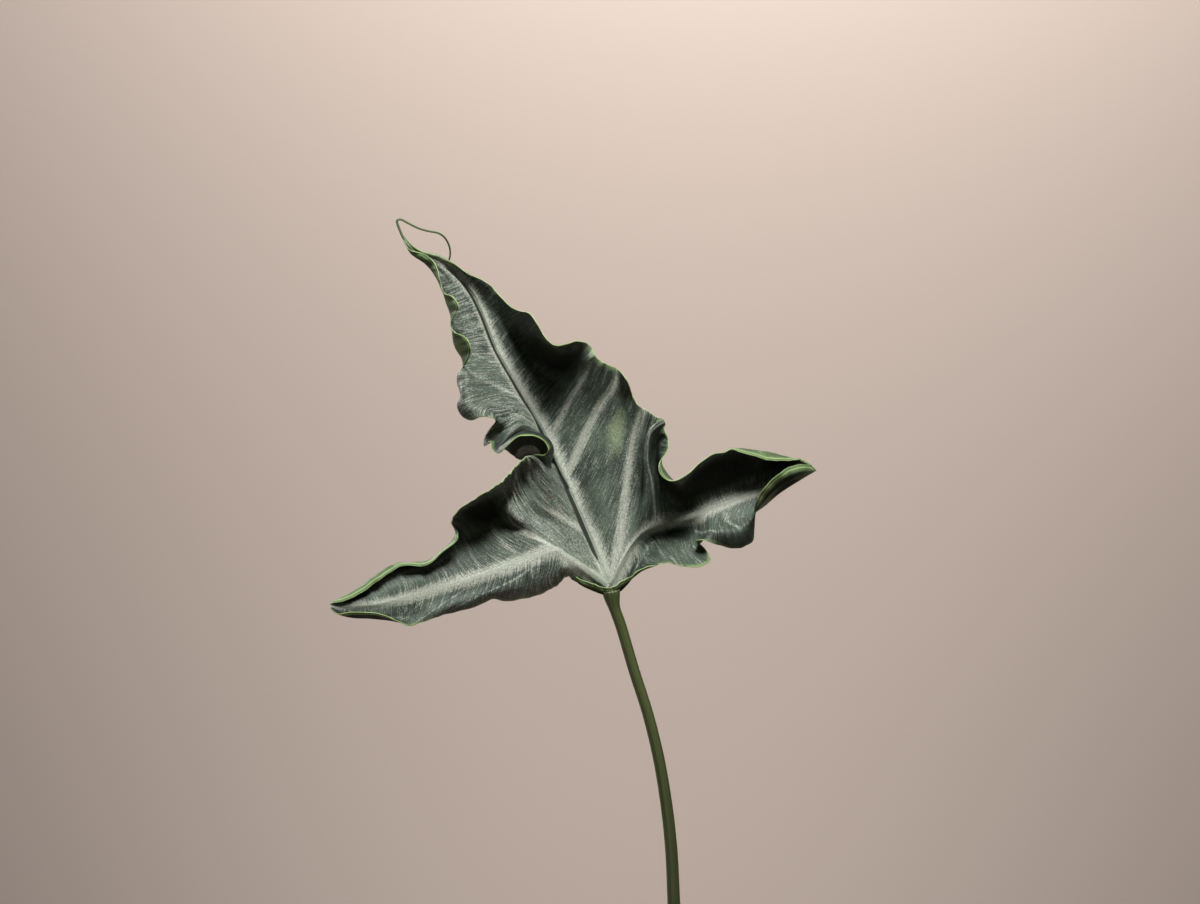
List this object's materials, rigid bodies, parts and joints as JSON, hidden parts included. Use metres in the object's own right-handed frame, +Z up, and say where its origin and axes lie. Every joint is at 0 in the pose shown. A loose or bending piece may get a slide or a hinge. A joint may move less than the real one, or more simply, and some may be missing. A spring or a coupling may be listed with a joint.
{
  "type": "potted alocasia",
  "caption": "Potted alocasia: a crinkled, silver-veined arrow-shaped leaf with curled edges on a slender stalk, in a plain tapered clay pot.",
  "frame": {"origin": "centre of the pot's flat underside, on the surface that it stands on", "axes": "+Z up; the leaf's upper face looks towards -Y, its long left lobe points to -X"},
  "size_m": [0.2003, 0.12, 0.4955],
  "materials": {
    "clay": "matt fired clay",
    "soil": "loose, damp, rough",
    "corm": "dull fibrous bark",
    "sheath": "dry and papery",
    "stalk": "smooth, slightly waxy",
    "blade": "leathery, satin, silver along the veins"
  },
  "bodies": {
    "root": {"pot": "clay", "soil": "soil", "corm": "corm", "sheath": "sheath", "leaf_stalk": "stalk", "leaf_blade": "blade"}
  },
  "joints": []
}
